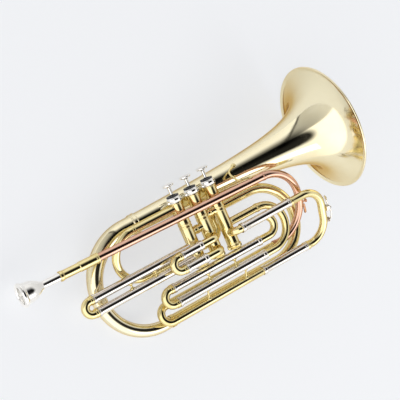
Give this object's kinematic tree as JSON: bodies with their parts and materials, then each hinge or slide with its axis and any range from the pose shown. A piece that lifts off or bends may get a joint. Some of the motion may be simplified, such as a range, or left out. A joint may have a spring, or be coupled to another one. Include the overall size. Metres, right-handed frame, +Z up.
{
  "type": "marching trombone",
  "caption": "Valved marching trombone lying on its side: flared bell, three piston valves with slides, main tuning slide with water key, leadpipe and mouthpiece.",
  "frame": {"origin": "centre of the bounding box at the floor", "axes": "+Z up; +X horizontal, from the mouthpiece towards the bell; +Y horizontal, towards the valve buttons"},
  "size_m": [0.6356, 0.2858, 0.2148],
  "materials": {
    "lacquered_brass": "clear-lacquered yellow brass, polished",
    "rose_brass": "clear-lacquered rose brass, polished",
    "nickel_silver": "bright nickel silver",
    "silver_plate": "bright silver plate",
    "spring_steel": "drawn wire",
    "black_felt": "pressed felt",
    "cork": "natural cork"
  },
  "bodies": {
    "instrument": {"bell": "lacquered_brass", "bell_bow": "lacquered_brass", "neck_tube": "lacquered_brass", "exit_tube": "lacquered_brass", "leadpipe": "rose_brass", "leadpipe_crook": "rose_brass", "return_tube": "lacquered_brass", "mouthpiece_receiver": "lacquered_brass", "bell_brace": "lacquered_brass", "main_slide_upper_outer": "nickel_silver", "main_slide_lower_outer": "nickel_silver", "main_slide_elbow": "lacquered_brass", "valve_1_casing": "lacquered_brass", "valve_1_top_cap": "silver_plate", "valve_1_bottom_cap": "lacquered_brass", "valve_1_felt": "black_felt", "valve_1_spring": "spring_steel", "valve_2_casing": "lacquered_brass", "valve_2_top_cap": "silver_plate", "valve_2_bottom_cap": "lacquered_brass", "valve_2_felt": "black_felt", "valve_2_spring": "spring_steel", "valve_3_casing": "lacquered_brass", "valve_3_top_cap": "silver_plate", "valve_3_bottom_cap": "lacquered_brass", "valve_3_felt": "black_felt", "valve_3_spring": "spring_steel", "valve_knuckle_1": "lacquered_brass", "valve_knuckle_2": "lacquered_brass", "slide_1_upper_outer": "nickel_silver", "slide_1_lower_outer": "nickel_silver", "slide_2_upper_outer": "nickel_silver", "slide_2_upper_elbow": "lacquered_brass", "slide_2_lower_outer": "nickel_silver", "slide_2_lower_elbow": "lacquered_brass", "slide_3_upper_outer": "nickel_silver", "slide_3_lower_outer": "nickel_silver", "slide_3_short_port_tube": "lacquered_brass", "slide_3_long_port_tube": "lacquered_brass"},
    "mouthpiece": {"mouthpiece": "silver_plate"},
    "main_tuning_slide": {"main_slide_upper_leg": "nickel_silver", "main_slide_lower_leg": "nickel_silver", "main_slide_bow": "lacquered_brass", "water_key_saddle": "nickel_silver", "water_key_pin": "spring_steel", "water_key_nipple": "nickel_silver", "water_key_spring": "spring_steel"},
    "water_key": {"water_key_lever": "nickel_silver", "water_key_cork": "cork"},
    "valve_1_piston_and_button": {"valve_1_piston": "nickel_silver", "valve_1_button": "silver_plate"},
    "valve_2_piston_and_button": {"valve_2_piston": "nickel_silver", "valve_2_button": "silver_plate"},
    "valve_3_piston_and_button": {"valve_3_piston": "nickel_silver", "valve_3_button": "silver_plate"},
    "slide_1_crook": {"slide_1_crook": "nickel_silver"},
    "slide_2_crook": {"slide_2_crook": "nickel_silver"},
    "slide_3_crook": {"slide_3_crook": "nickel_silver"}
  },
  "joints": [
    {"name": "valve_1_press", "type": "slide", "parent": "instrument", "child": "valve_1_piston_and_button", "axis": [0, -1, 0], "range_m": [0, 0.015], "stiffness_N_per_m": 250, "springref_m": -0.012, "deforming": ["valve_1_spring"]},
    {"name": "valve_2_press", "type": "slide", "parent": "instrument", "child": "valve_2_piston_and_button", "axis": [0, -1, 0], "range_m": [0, 0.015], "stiffness_N_per_m": 250, "springref_m": -0.012, "deforming": ["valve_2_spring"]},
    {"name": "valve_3_press", "type": "slide", "parent": "instrument", "child": "valve_3_piston_and_button", "axis": [0, -1, 0], "range_m": [0, 0.015], "stiffness_N_per_m": 250, "springref_m": -0.012, "deforming": ["valve_3_spring"]},
    {"name": "slide_1_pull", "type": "slide", "parent": "instrument", "child": "slide_1_crook", "axis": [-0.9809, 0, -0.1945], "range_m": [0, 0.09]},
    {"name": "slide_2_pull", "type": "slide", "parent": "instrument", "child": "slide_2_crook", "axis": [-0.9809, 0, -0.1945], "range_m": [0, 0.018]},
    {"name": "slide_3_pull", "type": "slide", "parent": "instrument", "child": "slide_3_crook", "axis": [-0.9809, 0, -0.1945], "range_m": [0, 0.11]},
    {"name": "main_tuning_slide_pull", "type": "slide", "parent": "instrument", "child": "main_tuning_slide", "axis": [0.9809, 0, 0.1945], "range_m": [0, 0.06]},
    {"name": "mouthpiece_pull", "type": "slide", "parent": "instrument", "child": "mouthpiece", "axis": [-0.9807, 0.0215, -0.1945], "range_m": [0, 0.012]},
    {"name": "water_key_lift", "type": "hinge", "parent": "main_tuning_slide", "child": "water_key", "pos_m": [0.21896, -0.08386, 0.13078], "axis": [-0.1811, -0.3651, 0.9132], "range_deg": [0, 8], "stiffness_Nm_per_rad": 0.06, "springref_deg": -17.19}
  ]
}
